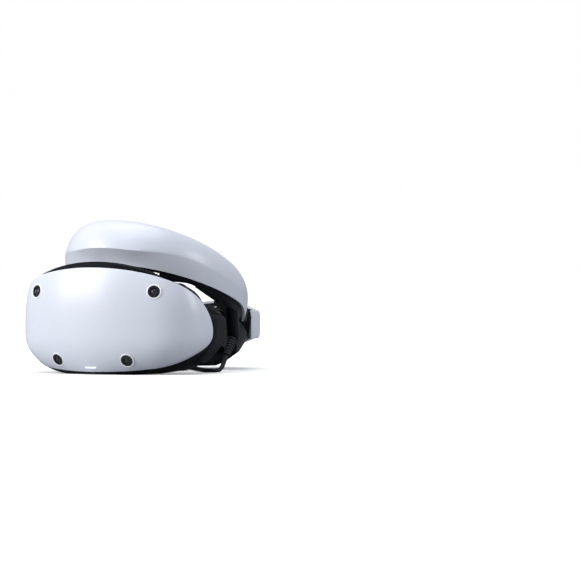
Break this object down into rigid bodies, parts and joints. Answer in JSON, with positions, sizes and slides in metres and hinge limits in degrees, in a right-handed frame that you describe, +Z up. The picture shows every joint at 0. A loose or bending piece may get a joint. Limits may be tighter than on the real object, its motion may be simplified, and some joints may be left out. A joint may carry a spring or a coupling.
{
  "type": "vr headset",
  "caption": "Virtual reality headset: a white visor on a sliding rail under a rigid white headband, with a rear fit dial, padded supports and a captive lead.",
  "frame": {"origin": "bottom centre of the headset's bounding box, without its lead, on the surface it stands on", "axes": "+X to the wearer's left, +Y from the visor's front to the rear dial, +Z up"},
  "size_m": [0.206, 0.284, 0.1528],
  "materials": {
    "white_shell": "fine satin moulded, cool white",
    "black_plastic": "fine matt moulded, near black",
    "dark_plastic": "matt moulded, dark grey",
    "gloss_black": "polished, near black",
    "soft_rubber": "soft matt silicone",
    "pad_cover": "matt soft-touch pad cover",
    "optic_glass": "clear polished",
    "camera_glass": "dark coated",
    "light_pipe": "translucent white",
    "circuit_board": "solder resist",
    "aluminium": "bead blasted",
    "steel": "ground",
    "bronze": "sintered",
    "display_panel": "dark glass-like panel",
    "cord_jacket": "matt extruded jacket"
  },
  "bodies": {
    "headband": {"band_shell": "white_shell", "forehead_frame": "black_plastic", "forehead_pad": "pad_cover", "slide_bracket": "dark_plastic", "slide_rods": "steel", "liner_left": "black_plastic", "liner_right": "black_plastic", "sleeve_left": "dark_plastic", "sleeve_right": "dark_plastic", "vibration_motor": "steel", "jack_socket": "gloss_black", "cable_boss": "black_plastic", "strain_relief": "cord_jacket", "usb_cable": "cord_jacket", "cable_coil": "cord_jacket", "cable_tie": "soft_rubber", "usb_plug": "dark_plastic"},
    "scope": {"front_cover": "white_shell", "camera_bezels": "gloss_black", "camera_lenses": "camera_glass", "camera_modules": "dark_plastic", "status_light": "light_pipe", "mid_frame": "black_plastic", "vent_grille": "black_plastic", "lower_grille": "black_plastic", "main_board": "circuit_board", "heat_sink": "aluminium", "fan_housing": "dark_plastic", "shield_plate": "steel", "guide_rods": "steel", "rear_cover": "black_plastic", "proximity_sensor": "gloss_black", "light_shield": "soft_rubber", "scope_screws": "steel", "slide_bushes": "bronze"},
    "fan": {"fan_rotor": "dark_plastic"},
    "left_lens": {"display_left": "display_panel", "barrel_left": "black_plastic", "eye_lens_left": "optic_glass", "ir_ring_left": "gloss_black", "rack_left": "steel"},
    "right_lens": {"display_right": "display_panel", "barrel_right": "black_plastic", "eye_lens_right": "optic_glass", "ir_ring_right": "gloss_black", "rack_right": "steel"},
    "lens_wheel": {"lens_dial": "dark_plastic"},
    "power_key": {"power_button": "dark_plastic"},
    "function_key": {"function_button": "dark_plastic"},
    "scope_key": {"scope_button": "dark_plastic"},
    "motor_weight": {"eccentric_weight": "bronze"},
    "rear_unit": {"rear_frame": "black_plastic", "rear_pad": "pad_cover", "rear_casing": "white_shell", "strap_left": "dark_plastic", "strap_right": "dark_plastic", "rear_screws": "steel", "release_spring": "steel"},
    "fit_dial": {"rear_dial": "dark_plastic"},
    "release_key": {"release_button": "dark_plastic"}
  },
  "joints": [
    {"name": "scope_slide", "type": "slide", "parent": "headband", "child": "scope", "axis": [0, -1, 0], "range_m": [0, 0.03]},
    {"name": "left_lens_slide", "type": "slide", "parent": "scope", "child": "left_lens", "axis": [1, 0, 0], "range_m": [-0.004, 0.004]},
    {"name": "right_lens_slide", "type": "slide", "parent": "scope", "child": "right_lens", "axis": [-1, 0, 0], "range_m": [-0.004, 0.004]},
    {"name": "lens_dial_spin", "type": "hinge", "parent": "scope", "child": "lens_wheel", "pos_m": [0.0695, -0.084, 0.077], "axis": [0, 1, 0], "range_deg": [-57.4, 57.4]},
    {"name": "fan_spin", "type": "hinge", "parent": "scope", "child": "fan", "pos_m": [0, -0.12, 0.077], "axis": [0, 1, 0], "continuous": true},
    {"name": "power_press", "type": "slide", "parent": "scope", "child": "power_key", "axis": [0, 0, 1], "range_m": [0, 0.001], "stiffness_N_per_m": 400},
    {"name": "function_press", "type": "slide", "parent": "scope", "child": "function_key", "axis": [0, 0, 1], "range_m": [0, 0.001], "stiffness_N_per_m": 400},
    {"name": "scope_button_press", "type": "slide", "parent": "headband", "child": "scope_key", "axis": [0, -0.3338, -0.9426], "range_m": [0, 0.0015], "stiffness_N_per_m": 400},
    {"name": "motor_spin", "type": "hinge", "parent": "headband", "child": "motor_weight", "pos_m": [0.005, -0.08645, 0.12668], "axis": [1, 0, 0], "continuous": true},
    {"name": "rear_slide", "type": "slide", "parent": "headband", "child": "rear_unit", "axis": [0, 0.9426, -0.3338], "range_m": [0, 0.045]},
    {"name": "dial_spin", "type": "hinge", "parent": "rear_unit", "child": "fit_dial", "pos_m": [0, 0.136, 0.047], "axis": [0, 1, 0], "range_deg": [0, 208]},
    {"name": "release_press", "type": "slide", "parent": "rear_unit", "child": "release_key", "axis": [0, -1, 0], "range_m": [0, 0.0025], "stiffness_N_per_m": 400}
  ],
  "couplings": [
    {"joint": "right_lens_slide", "follows": "left_lens_slide", "ratio": 1},
    {"joint": "lens_dial_spin", "follows": "left_lens_slide", "rad_per_m": 250},
    {"joint": "dial_spin", "follows": "rear_slide", "rad_per_m": 80.6}
  ]
}
